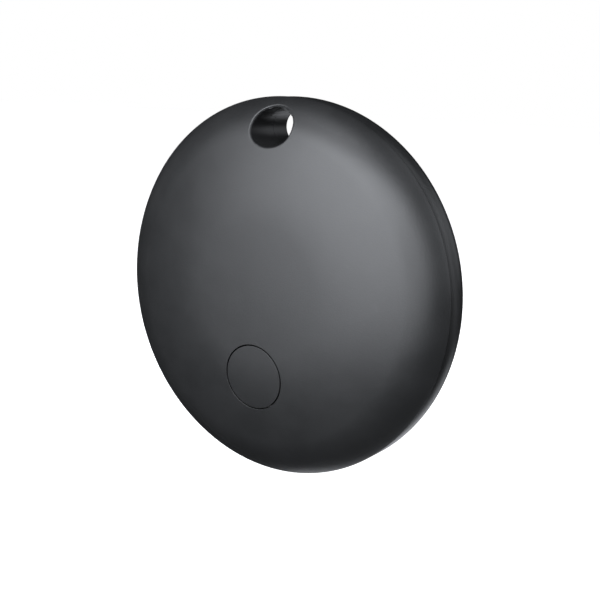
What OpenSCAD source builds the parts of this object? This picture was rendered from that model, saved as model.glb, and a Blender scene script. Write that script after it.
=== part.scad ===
// Round tracker tag: domed front shell with a push button and a keyring hole, a board,
// sounder and coin cell inside it, and a pull-off rear cover.
// Millimetres. +Z is up, the disc's axis runs along Y and the domed face looks along -Y.
// The origin is the centre of the whole disc.

/* [Overall] */
// diameter of the disc
disc_d = 38; // [36:0.5:46]
// thickness from the crown to the flat back
thick = 8; // [7.8:0.1:10]
// thickness of the front shell's wall
wall = 1.1; // [0.9:0.05:1.4]
// thickness of the rear cover's flat wall
rear_wall = 0.85; // [0.7:0.05:1.2]

/* [Dome] */
// radius of the nearly flat crown's curve
crown_r = 150; // [100:5:300]
// diameter of the nearly flat crown
crown_d = 13.604; // [10:0.002:20]
// width of the shoulder, from the disc's edge inwards
shoulder_w = 3.8; // [3:0.05:4.6]
// radius of the shoulder's curve
edge_r = 6.8495; // [6:0.0005:8]
// slope of the face where the shoulder starts, in degrees
shoulder_slope = 15; // [10:1:20]
// depth of the groove between the shells
groove_depth = 0.76; // [0.4:0.02:1]
// height of the front shell's undercut below its sharp edge
undercut_h = 0.51; // [0.3:0.01:0.8]
// gap between the shells at the bottom of the groove
shell_gap = 0.1; // [0.05:0.01:0.3]
// radius of the rear cover's rounded edge, as a share of the edge's height
lobe_share = 0.535; // [0.5:0.005:0.6]
// wall from the rear cover's spigot to the disc's edge
mouth_inset = 1.9; // [1.7:0.05:2.2]

/* [Keyring hole] */
// width of the oval hole
hole_w = 4.68; // [4:0.02:6]
// height of the oval hole
hole_h = 3.72; // [3:0.02:4.4]
// radius of the hole's rounded ends, as a share of half its height
hole_end = 0.9; // [0.7:0.01:0.97]
// distance from the hole's centre to the disc's edge
hole_inset = 3; // [2.8:0.05:4]
// wall left round the hole
tube_wall = 0.9; // [0.7:0.05:1.2]

/* [Button] */
// diameter of the button's cap
button_d = 6.4; // [5:0.1:8]
// gap round the cap
button_gap = 0.13; // [0.08:0.01:0.3]
// distance of the button below the disc's centre
button_drop = 8.45; // [7.5:0.05:9.5]
// how far the button travels
button_travel = 0.2; // [0.1:0.05:0.3]

/* [Board] */
// thickness of the board
board_t = 0.8; // [0.6:0.05:1]
// gap from the board's edge to the front shell's inside
board_gap = 0.634; // [0.4:0.002:1.5]
// least gap from the board's edge to the rear cover's spigot
spigot_room = 1.75; // [1.2:0.05:2.5]
// radius of the circle of screws
screw_circle = 12.45; // [12.2:0.05:13]
// diameter of the screws' shanks
screw_d = 1.14; // [1:0.02:1.4]

/* [Sounder] */
// diameter of the brass plate
sounder_d = 14.4; // [12:0.1:16]
// diameter of the ceramic disc on it
ceramic_d = 10; // [8:0.1:11]

/* [Cell] */
// diameter of the coin cell
cell_d = 20; // [16:0.1:20]
// thickness of the coin cell
cell_t = 3.2; // [2:0.1:3.2]

/* [Hidden] */
$fn = 96;
eps = 0.02;
disc_r = disc_d / 2;
front_y = -thick / 2;
back_y = thick / 2;

// dome: three tangent arcs from the crown to the edge, each centred below the last
crown_out = crown_d / 2;
shoulder_in = disc_r - shoulder_w;
crown_sin = crown_out / crown_r;
crown_cos = sqrt(1 - crown_sin * crown_sin);
slope_sin = sin(shoulder_slope);
slope_cos = cos(shoulder_slope);
blend_r = (shoulder_in - crown_out) / (slope_sin - crown_sin);
blend_c = [(crown_r - blend_r) * crown_sin, front_y + crown_r - (crown_r - blend_r) * crown_cos];
edge_c = [
    blend_c[0] + (blend_r - edge_r) * slope_sin,
    blend_c[1] - (blend_r - edge_r) * slope_cos
];
edge_end_sin = (disc_r - edge_c[0]) / edge_r;
edge_y = edge_c[1] - edge_r * sqrt(1 - edge_end_sin * edge_end_sin);
waist_y = edge_y + undercut_h;
waist_r = disc_r - groove_depth;
ledge_y = waist_y + shell_gap;

// rear cover
lobe_r = lobe_share * (back_y - waist_y);
lobe_c = [disc_r - lobe_r, back_y - lobe_r];
mouth_r = disc_r - mouth_inset;
fit_gap = 0.15;
spigot_r = mouth_r - fit_gap;
spigot_t = 0.8;
spigot_y = waist_y - 0.85;
seal_t = 0.35;
seal_gap = 0.05;
seal_y0 = waist_y - 0.55;
seal_y1 = waist_y - 0.2;
nub_h = 0.1;
nub_w = 3;
rear_in_y = back_y - rear_wall;
pad_t = 0.15;
pad_r = 6;

// keyring hole
hole_z = disc_r - hole_inset;
hole_a = hole_w / 2;
hole_b = hole_h / 2;
hole_end_r = hole_end * hole_b;
hole_end_x = hole_a - hole_end_r;
hole_side_r = (hole_end_x * hole_end_x + hole_b * hole_b - hole_end_r * hole_end_r) / (2 * (hole_b - hole_end_r));
hole_side_z = hole_side_r - hole_b;
tube_end_y = waist_y + 0.95;

// stack, built forward from the back
cell_r = cell_d / 2;
cell_y1 = rear_in_y - pad_t - seal_gap;
cell_y0 = cell_y1 - cell_t;
contact_space = 0.4;
board_y1 = cell_y0 - contact_space;
board_y0 = board_y1 - board_t;

// inside radius of the front shell at the board's front, on whichever arc is there
edge_in_y = edge_c[1] - (edge_r - wall) * slope_cos;
board_arc_r = board_y0 > edge_in_y ? edge_r : blend_r;
board_arc_c = board_y0 > edge_in_y ? edge_c : blend_c;
board_reach = sqrt(pow(board_arc_r - wall, 2) - pow(board_arc_c[1] - board_y0, 2));
board_r = min(board_arc_c[0] + board_reach - board_gap, spigot_r - spigot_t - spigot_room);
// the notch clears the tube, and the spigot's collar too where the board stands inside it
notch_gap = tube_wall + (board_y1 < spigot_y ? 0.5 : 2 * fit_gap + spigot_t);

seat_y = front_y + wall + 0.15;

// button
button_z = -button_drop;
cap_r = button_d / 2;
button_hole_r = cap_r + button_gap;
flange_r = button_hole_r + 0.37;
flange_t = 0.28;
button_seat_y = seat_y + 0.1;
ring_t = 0.15;
flange_y0 = button_seat_y + ring_t;
flange_y1 = flange_y0 + flange_t;
switch_w = 4;
plunger_r = 1;
plunger_h = 0.23;
press_gap = 0.04;
switch_room = board_y0 - flange_y1 - press_gap - plunger_h;
switch_t = min(0.5, switch_room);
switch_y0 = board_y0 - switch_t;
stem_y1 = switch_y0 - plunger_h - press_gap;

// sounder
sounder_r = sounder_d / 2;
ceramic_r = ceramic_d / 2;
sounder_z = button_z + flange_r + 0.5 + sounder_r;
glue_t = 0.1;
plate_t = 0.15;
ceramic_t = 0.15;
electrode_t = 0.04;
plate_y0 = seat_y + glue_t;
ceramic_y0 = plate_y0 + plate_t;
electrode_y0 = ceramic_y0 + ceramic_t;
sounder_y1 = electrode_y0 + electrode_t;
part_room = board_y0 - sounder_y1 - 0.06;

// fixings
screw_r = screw_d / 2;
boss_r = 1.35;
lug_r = 1.6;
lug_t = 0.6;
head_r = 1.1;
head_t = 0.5;
thread_depth = 1;
tray_floor = contact_space - 0.05;
tray_in_r = cell_r + 0.15;
tray_out_r = tray_in_r + 0.8;

// small chips: [x, z, turn]
cap_spots = [
    [-0.6, 7.2, 0], [1.2, 7.2, 0], [-7.6, -1.6, 90], [-7.6, 0.4, 90], [4.4, -3.2, 0],
    [6.2, -3.2, 0], [8.6, -4.4, 90], [-1.2, -3.4, 0], [9.4, 1.2, 90], [-9.6, -4.2, 90]
];
resistor_spots = [
    [3.0, 7.2, 0], [-2.4, 7.2, 0], [7.8, 3.6, 90], [8.8, 3.6, 90], [-6.6, -5.2, 0],
    [-5.0, -5.2, 0], [5.4, -6.2, 90], [6.6, -6.2, 90]
];
coil_spots = [[3.6, 4.2, 0], [-8.6, 5.2, 90], [9.6, -1.4, 90]];

front_shell();
button_cap();
button_seal();
switch_body();
switch_plunger();
main_board();
radio_chip();
crystal_fast();
crystal_slow();
chip_antenna();
capacitors();
resistors();
inductors();
test_pads();
buzzer_adhesive();
buzzer_plate();
buzzer_ceramic();
buzzer_electrode();
buzzer_contacts();
battery_tray();
tray_screws();
negative_contact();
positive_contact();
cell_can();
cell_cap();
cell_gasket();
rear_cover();
cover_gasket();
cell_pad();

// ---- helpers ----

// turns a profile of (radius, y) about the disc's axis
module turned() {
    rotate([-90, 0, 0]) rotate_extrude() children();
}

// extrudes a sketch of (x, z) from y0 to y1
module slab(y0, y1) {
    translate([0, y1, 0]) rotate([90, 0, 0]) linear_extrude(y1 - y0) children();
}

// extrudes a sketch of (z, y) by w along X, centred on x
module side_strip(x, w) {
    translate([x + w / 2, 0, 0]) rotate([0, -90, 0]) linear_extrude(w) children();
}

// extrudes a sketch of (x, y) by w along Z, centred on z
module flat_strip(z, w) {
    translate([0, 0, z - w / 2]) linear_extrude(w) children();
}

// a box standing on the board's front at (x, z), turned by a
module front_box(x, z, a, size, h) {
    slab(board_y0 - h, board_y0) translate([x, z]) rotate(a) square(size, center = true);
}

// the keyring hole's outline, grown by g: an oval of two end arcs and two flatter arcs that meet in line
module hole_shape(g) {
    join_x = (hole_side_r + g) * hole_end_x / (hole_side_r - hole_end_r);
    translate([0, hole_z]) {
        translate([-hole_end_x, 0]) circle(hole_end_r + g);
        translate([hole_end_x, 0]) circle(hole_end_r + g);
        intersection() {
            translate([0, hole_side_z]) circle(hole_side_r + g);
            translate([0, -hole_side_z]) circle(hole_side_r + g);
            translate([-join_x, -hole_h]) square([2 * join_x, 2 * hole_h]);
        }
    }
}

// a disc of radius r with the hole's outline, grown by g, cut out of it
module notched_disc(r, g) {
    difference() {
        circle(r);
        hole_shape(g);
    }
}

// places children at each of the four screws
module at_screws() {
    for (a = [45, 135, 225, 315])
        translate([screw_circle * cos(a), screw_circle * sin(a)]) children();
}

// profile under the dome, moved inwards by t and kept above plane y1
module dome_profile(t, y1) {
    intersection() {
        union() {
            intersection() {
                translate([0, front_y + crown_r]) circle(crown_r - t, $fn = 720);
                translate([0, front_y]) square([crown_out - t * crown_sin, y1 - front_y]);
            }
            intersection() {
                translate(blend_c) circle(blend_r - t, $fn = 360);
                translate([crown_out - t * crown_sin, front_y])
                    square([shoulder_in - crown_out - t * (slope_sin - crown_sin), y1 - front_y]);
            }
            intersection() {
                translate(edge_c) circle(edge_r - t);
                translate([shoulder_in - t * slope_sin, front_y]) square([disc_r, y1 - front_y]);
            }
        }
        translate([0, front_y]) square([disc_r, y1 - front_y]);
    }
}

// the solid under the dome, past its sharp edge to the bottom of the groove
module dome_solid() {
    turned() intersection() {
        dome_profile(0, waist_y);
        polygon([
            [0, front_y - 1], [disc_r, front_y - 1], [disc_r, edge_y], [waist_r, waist_y],
            [0, waist_y]
        ]);
    }
}

// ---- front shell and button ----

module front_cavity() {
    turned() intersection() {
        dome_profile(wall, waist_y + 1);
        translate([0, front_y]) square([mouth_r, thick]);
    }
}

module front_shell() {
    color([0.17, 0.175, 0.18]) difference() {
        union() {
            difference() {
                dome_solid();
                front_cavity();
            }
            intersection() {
                dome_solid();
                slab(front_y, waist_y) hole_shape(tube_wall);
            }
            slab(waist_y - 0.5, tube_end_y) intersection() {
                hole_shape(tube_wall);
                circle(spigot_r);
            }
            intersection() {
                dome_solid();
                union() {
                    slab(front_y, board_y0) at_screws() circle(boss_r);
                    slab(front_y, seat_y) translate([0, sounder_z]) circle(sounder_r + 0.2);
                    slab(front_y, button_seat_y) translate([0, button_z]) circle(flange_r + 0.35);
                }
            }
        }
        slab(front_y - 1, back_y) hole_shape(0);
        slab(front_y - 1, button_seat_y + eps) translate([0, button_z]) circle(button_hole_r);
        slab(button_seat_y, board_y0) translate([0, button_z]) circle(flange_r + 0.1);
        slab(seat_y, board_y0) translate([0, sounder_z]) circle(sounder_r + 0.2);
        slab(seat_y - 0.2, seat_y + eps) translate([0, sounder_z]) circle(sounder_r - 1.3);
        slab(board_y0 - thread_depth - 0.1, board_y0 + eps) at_screws() circle(screw_r + 0.03);
    }
}

module button_cap() {
    color([0.17, 0.175, 0.18]) union() {
        intersection() {
            dome_solid();
            slab(front_y, flange_y0 + eps) translate([0, button_z]) circle(cap_r);
        }
        slab(flange_y0, flange_y1) translate([0, button_z]) circle(flange_r);
        slab(flange_y1 - eps, stem_y1) translate([0, button_z]) circle(plunger_r + 0.3);
    }
}

module button_seal() {
    color([0.1, 0.1, 0.1]) slab(button_seat_y, flange_y0 - 0.01) translate([0, button_z])
        difference() {
            circle(flange_r);
            circle(button_hole_r + 0.02);
        }
}

module switch_body() {
    color([0.75, 0.75, 0.73]) difference() {
        slab(switch_y0, board_y0) translate([0, button_z]) difference() {
            square(switch_w, center = true);
            for (a = [45, 135, 225, 315])
                rotate(a) translate([switch_w * 0.68, -1]) square([1, 2]);
        }
        slab(switch_y0 - eps, board_y0 - 0.05) translate([0, button_z]) circle(plunger_r + 0.08);
    }
}

module switch_plunger() {
    color([0.2, 0.2, 0.2]) slab(switch_y0 - plunger_h, board_y0 - 0.05 - button_travel)
        translate([0, button_z]) circle(plunger_r);
}

// ---- board and its parts ----

module main_board() {
    color([0.05, 0.2, 0.12]) slab(board_y0, board_y1) difference() {
        circle(board_r);
        hole_shape(notch_gap);
        translate([-hole_a - notch_gap, hole_z]) square([hole_w + 2 * notch_gap, disc_r]);
        at_screws() circle(screw_r + 0.15);
    }
}

module radio_chip() {
    color([0.08, 0.08, 0.09]) front_box(-4.2, 1.4, 0, [5, 5], min(0.75, part_room));
}

module crystal_fast() {
    color([0.75, 0.75, 0.76]) union() {
        front_box(-8.6, 2.4, 90, [2, 1.6], 0.45);
        front_box(-8.6, 2.4, 90, [1.7, 1.3], 0.52);
    }
}

module crystal_slow() {
    color([0.78, 0.76, 0.7]) union() {
        front_box(-4.4, -3, 0, [3.2, 1.5], 0.55);
        front_box(-4.4, -3, 0, [2.9, 1.2], 0.62);
    }
}

module chip_antenna() {
    color([0.85, 0.87, 0.9]) slab(board_y1, board_y1 + 1.1)
        translate([-5.9, board_r - 2.8]) rotate(27) square([3.2, 1.6], center = true);
}

module capacitors() {
    color([0.62, 0.5, 0.36]) for (s = cap_spots) front_box(s[0], s[1], s[2], [1, 0.5], 0.5);
}

module resistors() {
    color([0.1, 0.1, 0.11]) for (s = resistor_spots)
        front_box(s[0], s[1], s[2], [1, 0.5], 0.35);
}

module inductors() {
    color([0.35, 0.35, 0.37]) for (s = coil_spots)
        front_box(s[0], s[1], s[2], [1.6, 0.8], min(0.55, part_room));
}

module test_pads() {
    color([0.85, 0.68, 0.3]) slab(board_y1, board_y1 + 0.03)
        for (i = [-2:2]) translate([i * 1.6, 1.6 - board_r]) circle(0.5);
}

// ---- sounder ----

module buzzer_adhesive() {
    color([0.85, 0.85, 0.8]) slab(seat_y, plate_y0) translate([0, sounder_z]) difference() {
        circle(sounder_r);
        circle(sounder_r - 1.2);
    }
}

module buzzer_plate() {
    color([0.8, 0.65, 0.3]) slab(plate_y0, ceramic_y0)
        translate([0, sounder_z]) circle(sounder_r);
}

module buzzer_ceramic() {
    color([0.9, 0.88, 0.82]) slab(ceramic_y0, electrode_y0)
        translate([0, sounder_z]) circle(ceramic_r);
}

module buzzer_electrode() {
    color([0.8, 0.8, 0.8]) slab(electrode_y0, sounder_y1)
        translate([0, sounder_z]) circle(ceramic_r - 0.6);
}

// a bent leaf from the board to a face at y1, at (x, z)
module leaf(x, z, y1) {
    t = 0.12;
    side_strip(x, 0.8) polygon([
        [z - 1.1, board_y0], [z + 1.1, board_y0], [z + 1.1, board_y0 - t],
        [z - 0.75, board_y0 - t], [z + 0.75, y1 + t + 0.04], [z + 1.1, y1 + t + 0.04],
        [z + 1.1, y1 + 0.04], [z + 0.7, y1 + 0.04], [z - 1.1, board_y0 - t]
    ]);
}

module buzzer_contacts() {
    color([0.85, 0.7, 0.35]) union() {
        leaf(0.9, sounder_z + 0.6, sounder_y1);
        leaf(sounder_r - 1.1, sounder_z, ceramic_y0);
    }
}

// ---- tray, contacts and cell ----

module battery_tray() {
    color([0.12, 0.12, 0.13]) difference() {
        union() {
            slab(board_y1, board_y1 + tray_floor) difference() {
                circle(tray_out_r);
                circle(5.5);
            }
            slab(board_y1, cell_y0 + 0.58 * cell_t) difference() {
                circle(tray_out_r);
                circle(tray_in_r);
            }
            slab(board_y1, board_y1 + lug_t) difference() {
                union() {
                    at_screws() circle(lug_r);
                    for (a = [45, 135, 225, 315])
                        rotate(a) translate([tray_in_r + 0.1, -1.2])
                            square([screw_circle - tray_in_r - 0.1, 2.4]);
                }
                at_screws() circle(screw_r + 0.08);
            }
        }
        translate([tray_in_r - 0.3, board_y1 + tray_floor, -1.9])
            cube([1.3, cell_t, 3.8]);
    }
}

module tray_screws() {
    top = board_y1 + lug_t;
    color([0.6, 0.6, 0.62]) difference() {
        union() {
            slab(board_y0 - thread_depth, top + eps) at_screws() circle(screw_r);
            slab(top, top + head_t) at_screws() circle(head_r);
        }
        slab(top + head_t - 0.25, top + head_t + eps) at_screws() {
            square([1.3, 0.3], center = true);
            square([0.3, 1.3], center = true);
        }
    }
}

module negative_contact() {
    t = 0.1;
    base = board_y1;
    tip = cell_y0 - 0.03;
    color([0.8, 0.8, 0.78]) side_strip(0, 3) polygon([
        [-1.6, base], [1.6, base], [1.6, base + t], [4.4, tip - t], [4.9, tip - t - 0.06],
        [4.9, tip - 0.06], [4.4, tip], [4.1, tip], [1.4, base + 1.6 * t], [-1.4, base + 1.6 * t],
        [-4.1, tip], [-4.4, tip], [-4.9, tip - 0.06], [-4.9, tip - t - 0.06], [-4.4, tip - t],
        [-1.6, base + t]
    ]);
}

module positive_contact() {
    t = 0.15;
    foot = board_y1;
    out = tray_out_r + 0.35;
    touch = cell_r + 0.04;
    bend = cell_y0 + 0.5 * cell_t;
    color([0.8, 0.8, 0.78]) flat_strip(0, 3) polygon([
        [out + 2, foot], [out - t, foot], [out - t, bend], [touch, bend + 0.6],
        [touch + 0.45, bend + 1.2], [touch + 0.6, bend + 1.12], [touch + 0.2, bend + 0.63],
        [out, bend + 0.1], [out, foot + t], [out + 2, foot + t]
    ]);
}

module cell_can() {
    color([0.78, 0.78, 0.78]) turned() union() {
        translate([0, cell_y0 + 0.9]) square([cell_r - 0.25, cell_t - 0.9]);
        translate([cell_r - 0.25, cell_y0 + 0.35]) square([0.25, cell_t - 0.6]);
        translate([cell_r - 0.25, cell_y1 - 0.25]) intersection() {
            circle(0.25);
            square(0.25);
        }
    }
}

module cell_cap() {
    color([0.72, 0.72, 0.73]) turned() polygon([
        [0, cell_y0], [cell_r - 1.5, cell_y0], [cell_r - 1.2, cell_y0 + 0.3],
        [cell_r - 1.2, cell_y0 + 0.6], [cell_r - 0.6, cell_y0 + 0.6],
        [cell_r - 0.6, cell_y0 + 0.89], [0, cell_y0 + 0.89]
    ]);
}

module cell_gasket() {
    color([0.1, 0.1, 0.12]) turned() polygon([
        [cell_r - 1.19, cell_y0 + 0.25], [cell_r - 0.26, cell_y0 + 0.25],
        [cell_r - 0.26, cell_y0 + 0.89], [cell_r - 0.59, cell_y0 + 0.89],
        [cell_r - 0.59, cell_y0 + 0.59], [cell_r - 1.19, cell_y0 + 0.59]
    ]);
}

// ---- rear cover ----

module cover_outer() {
    turned() intersection() {
        union() {
            translate(lobe_c) circle(lobe_r);
            translate([0, ledge_y]) square([lobe_c[0], back_y - ledge_y]);
        }
        translate([0, ledge_y]) square([disc_r + 1, back_y - ledge_y]);
    }
}

module rear_cover() {
    color([0.17, 0.175, 0.18]) difference() {
        union() {
            difference() {
                cover_outer();
                slab(ledge_y - eps, rear_in_y) difference() {
                    circle(spigot_r - spigot_t);
                    hole_shape(tube_wall + fit_gap);
                }
            }
            slab(spigot_y, ledge_y + eps) difference() {
                notched_disc(spigot_r, tube_wall + fit_gap);
                notched_disc(spigot_r - spigot_t, tube_wall + fit_gap + spigot_t);
            }
            slab(spigot_y + 0.03, spigot_y + 0.23) intersection() {
                difference() {
                    circle(spigot_r + nub_h);
                    circle(spigot_r - 0.3);
                }
                union() {
                    square([4 * disc_r, nub_w], center = true);
                    translate([-nub_w / 2, -2 * disc_r]) square([nub_w, 2 * disc_r]);
                }
            }
        }
        slab(spigot_y - 1, back_y + 1) hole_shape(0);
        slab(spigot_y - 1, tube_end_y + 0.05) intersection() {
            hole_shape(tube_wall + fit_gap);
            circle(mouth_r);
        }
        slab(seal_y0, seal_y1) difference() {
            notched_disc(disc_r, tube_wall);
            notched_disc(spigot_r - seal_t, tube_wall + fit_gap + seal_t);
        }
    }
}

module cover_gasket() {
    color([0.08, 0.08, 0.08]) slab(seal_y0, seal_y1) difference() {
        notched_disc(mouth_r - seal_gap, tube_wall + seal_gap);
        notched_disc(spigot_r - seal_t, tube_wall + fit_gap + seal_t);
    }
}

module cell_pad() {
    color([0.2, 0.2, 0.22]) slab(rear_in_y - pad_t, rear_in_y) circle(pad_r);
}
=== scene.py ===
"""Round tracker tag: finished surfaces, finishes, floor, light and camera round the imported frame.

Axes are the frame's own: +Z up, the disc's axis along Y, the domed face towards -Y. Sizes inside
the classes are millimetres, as a maker writes them; MM turns them into the scene's metres.
"""

import logging
import math
from collections.abc import Callable
from dataclasses import dataclass, field
from enum import Enum

import bmesh
import bpy
import numpy as np
from mathutils import Matrix, Vector


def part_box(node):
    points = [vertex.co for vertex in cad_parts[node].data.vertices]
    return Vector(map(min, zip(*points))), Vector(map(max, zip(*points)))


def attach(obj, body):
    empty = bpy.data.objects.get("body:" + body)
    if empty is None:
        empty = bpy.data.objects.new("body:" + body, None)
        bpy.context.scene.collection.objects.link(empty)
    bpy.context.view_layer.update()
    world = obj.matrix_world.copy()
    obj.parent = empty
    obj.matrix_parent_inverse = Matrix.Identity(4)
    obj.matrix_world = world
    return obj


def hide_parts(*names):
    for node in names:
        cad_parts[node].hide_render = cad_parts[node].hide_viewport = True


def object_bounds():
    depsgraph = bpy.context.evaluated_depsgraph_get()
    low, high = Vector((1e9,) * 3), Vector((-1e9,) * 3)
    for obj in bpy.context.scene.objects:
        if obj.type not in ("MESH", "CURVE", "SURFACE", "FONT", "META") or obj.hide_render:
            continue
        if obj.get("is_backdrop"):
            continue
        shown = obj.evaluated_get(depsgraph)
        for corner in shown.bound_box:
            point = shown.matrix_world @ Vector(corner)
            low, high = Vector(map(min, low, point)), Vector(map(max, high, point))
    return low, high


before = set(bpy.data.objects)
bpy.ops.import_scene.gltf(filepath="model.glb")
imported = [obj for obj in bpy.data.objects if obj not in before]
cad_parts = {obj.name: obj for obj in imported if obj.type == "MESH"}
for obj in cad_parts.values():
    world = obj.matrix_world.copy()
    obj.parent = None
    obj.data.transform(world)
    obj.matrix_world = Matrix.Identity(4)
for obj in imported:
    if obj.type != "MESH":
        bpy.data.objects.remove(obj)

MM = 0.001
SHARP = math.radians(34)
Colour = tuple[float, float, float]
log = logging.getLogger("tracker_tag")


class Side(Enum):
    """Which way a face looks along the disc's axis; the value turns Y into depth below the face."""

    FRONT = 1.0
    BACK = -1.0


class Weave(Enum):
    """How the marks of a worked metal run."""

    TURNED = "turned"
    ROLLED = "rolled"


# ---------------------------------------------------------------- shape of the tag


def node_box(node: str) -> tuple[np.ndarray, np.ndarray]:
    """Gives a node's lowest and highest corners.

    Args:
        node: name of the node.

    Returns:
        The two corners in millimetres.
    """
    low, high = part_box(node)
    return np.array(low) / MM, np.array(high) / MM


@dataclass(frozen=True)
class Oval:
    """Oval outline of four arcs that meet in line, centred at (0, z).

    The ends have radius end_share * half_h; the flatter sides have the radius that makes both arcs
    share their tangents where they meet.
    """

    half_w: float
    half_h: float
    z: float
    end_share: float = 0.9

    def edge(self, way: np.ndarray) -> tuple[np.ndarray, np.ndarray]:
        """Finds the outline along rays from its centre.

        A ray meets an arc of radius R about c at the positive root of |s * way - c| = R. It meets
        the side arc where that point lies within the join's x, and the end arc beyond it.

        Args:
            way: unit vectors (n, 2) in (x, z).

        Returns:
            The outline points (n, 2) and the unit normals (n, 2) that point away from the oval.
        """
        end_r = self.end_share * self.half_h
        end_x = self.half_w - end_r
        side_r = (end_x**2 + self.half_h**2 - end_r**2) / (2 * (self.half_h - end_r))
        sign, none = np.where(way < 0, -1.0, 1.0), np.zeros(len(way))
        side = np.stack([none, (self.half_h - side_r) * sign[:, 1]], 1)
        end = np.stack([end_x * sign[:, 0], none], 1)
        points = []
        for centre, size in ((side, side_r), (end, end_r)):
            along = np.sum(way * centre, 1)
            root = along + np.sqrt(np.maximum(along**2 - np.sum(centre**2, 1) + size**2, 0.0))
            points.append(way * root[:, None])
        on_side = (np.abs(points[0][:, 0]) <= side_r * end_x / (side_r - end_r))[:, None]
        point = np.where(on_side, points[0], points[1])
        normal = np.where(on_side, (point - side) / side_r, (point - end) / end_r)
        return point + np.array([0.0, self.z]), normal


@dataclass(frozen=True)
class Round:
    """Circular outline of a radius, centred at (0, z)."""

    radius: float
    z: float

    def edge(self, way: np.ndarray) -> tuple[np.ndarray, np.ndarray]:
        """Finds the outline along rays from its centre: the centre plus radius times the ray."""
        return way * self.radius + np.array([0.0, self.z]), way


@dataclass(frozen=True)
class TagShape:
    """Sizes that both shells share, in millimetres."""

    disc_r: float
    front_y: float
    back_y: float
    crown_r: float = 150.0
    crown_out: float = 6.802
    shoulder_w: float = 3.8
    shoulder_slope: float = math.radians(15)
    edge_r: float = 6.8495
    groove: float = 0.76
    undercut: float = 0.51
    shell_gap: float = 0.1
    lobe_share: float = 0.535

    @staticmethod
    def measured() -> "TagShape":
        """Reads the disc's radius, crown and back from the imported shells."""
        low, high = node_box("front_shell")
        _, back = node_box("rear_cover")
        return TagShape((high[0] - low[0]) / 2, low[1], back[1])

    def arcs(self) -> tuple[tuple[float, float, float], ...]:
        """Gives the face's three tangent arcs as (centre radius, centre y, arc radius)."""
        crown_sin = self.crown_out / self.crown_r
        slope_sin, slope_cos = math.sin(self.shoulder_slope), math.cos(self.shoulder_slope)
        blend_r = (self.disc_r - self.shoulder_w - self.crown_out) / (slope_sin - crown_sin)
        crown_y = self.front_y + self.crown_r
        drop = self.crown_r - blend_r
        blend_at = (drop * crown_sin, crown_y - drop * math.sqrt(1 - crown_sin**2))
        step = blend_r - self.edge_r
        return (
            (0.0, crown_y, self.crown_r),
            (blend_at[0], blend_at[1], blend_r),
            (blend_at[0] + step * slope_sin, blend_at[1] - step * slope_cos, self.edge_r),
        )

    def front(self, r: np.ndarray) -> tuple[np.ndarray, np.ndarray]:
        """Works out the domed face.

        The face is three tangent arcs turned about the axis: y = centre y - sqrt(R^2 - (r - c)^2),
        with the arc picked by radius, and its slope is (r - c) over that root.

        Args:
            r: radii in millimetres.

        Returns:
            Depth (y) and slope (dy/dr) at each radius.
        """
        crown, blend, edge = self.arcs()
        inner = r <= self.crown_out
        middle = r <= self.disc_r - self.shoulder_w
        centre = np.where(inner, crown[0], np.where(middle, blend[0], edge[0]))
        high = np.where(inner, crown[1], np.where(middle, blend[1], edge[1]))
        size = np.where(inner, crown[2], np.where(middle, blend[2], edge[2]))
        root = np.sqrt(np.maximum(size**2 - (r - centre) ** 2, 1e-9))
        return high - root, (r - centre) / root

    @property
    def edge_y(self) -> float:
        """Depth of the front shell's sharp edge."""
        return float(self.front(np.array([self.disc_r]))[0][0])

    @property
    def waist(self) -> tuple[float, float]:
        """Radius and depth of the bottom of the groove, on the front shell's side."""
        return self.disc_r - self.groove, self.edge_y + self.undercut

    @property
    def lobe(self) -> tuple[float, float, float]:
        """Centre radius, centre y and radius of the rear cover's rounded edge."""
        size = self.lobe_share * (self.back_y - self.waist[1])
        return self.disc_r - size, self.back_y - size, size

    def back(self, r: np.ndarray) -> tuple[np.ndarray, np.ndarray]:
        """Works out the back as depth below it: flat, then the lobe's quarter circle.

        Args:
            r: radii in millimetres.

        Returns:
            Minus y, and its slope, at each radius.
        """
        centre_r, centre_y, size = self.lobe
        past = np.maximum(r - centre_r, 0.0)
        root = np.sqrt(np.maximum(size**2 - past**2, 1e-6))
        return -(centre_y + root), past / root

    def face(self, side: Side, r: np.ndarray) -> tuple[np.ndarray, np.ndarray]:
        """Gives depth and slope below either face, in that face's own sense."""
        return self.front(r) if side is Side.FRONT else self.back(r)


# ---------------------------------------------------------------- mesh tools


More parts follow.
